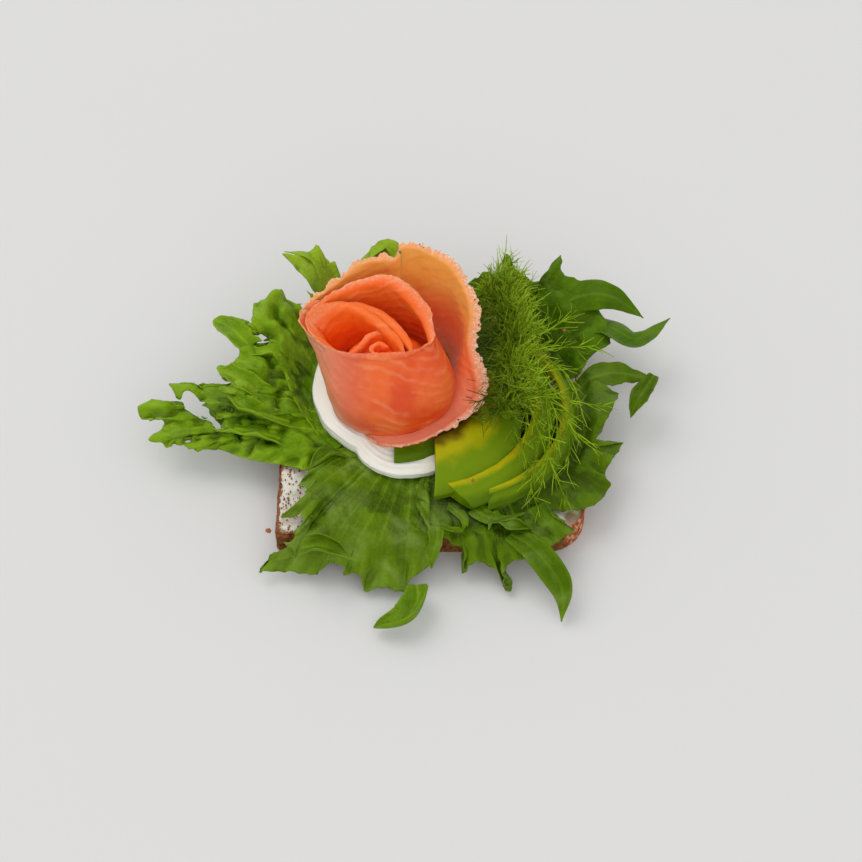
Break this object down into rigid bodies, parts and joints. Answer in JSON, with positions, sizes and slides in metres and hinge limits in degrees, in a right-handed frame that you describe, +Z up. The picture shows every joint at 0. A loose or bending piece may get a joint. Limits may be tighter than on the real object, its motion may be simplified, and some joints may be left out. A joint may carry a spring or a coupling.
{
  "type": "open sandwich",
  "caption": "Open sandwich: a square slice of dark rye bread with spread, frilled lettuce, cream, fanned avocado slices, dill and a rose of smoked salmon.",
  "frame": {"origin": "centre of the bread slice's flat underside, which lies on the table", "axes": "+Z up through the toppings, +X to the sandwich's right and +Y to its back, as seen from its front"},
  "size_m": [0.179, 0.141, 0.0616],
  "materials": {
    "rye": "dry coarse crumb of dark rye bread with a browned crust",
    "spread": "soft satin white spread with crumbs in it",
    "lettuce": "satin wet-looking leaf with fine veins, light shines through it",
    "cream": "soft satin whipped cream cheese",
    "avocado": "smooth moist flesh, yellow at the stone and green at the skin",
    "salmon": "moist translucent smoked fish with pale lines of fat",
    "dill": "fine fresh green threads"
  },
  "bodies": {
    "root": {"rye_bread": "rye", "spread": "spread", "lettuce_left": "lettuce", "lettuce_front": "lettuce", "lettuce_front_right": "lettuce", "lettuce_right": "lettuce", "lettuce_back_right": "lettuce", "lettuce_back_left": "lettuce", "lettuce_curl": "lettuce", "cream": "cream", "avocado_slice_0": "avocado", "avocado_slice_1": "avocado", "avocado_slice_2": "avocado", "avocado_slice_3": "avocado", "salmon_outer": "salmon", "salmon_wrap": "salmon", "salmon_fold_outer": "salmon", "salmon_fold_inner": "salmon", "salmon_core": "salmon", "dill": "dill"}
  },
  "joints": []
}
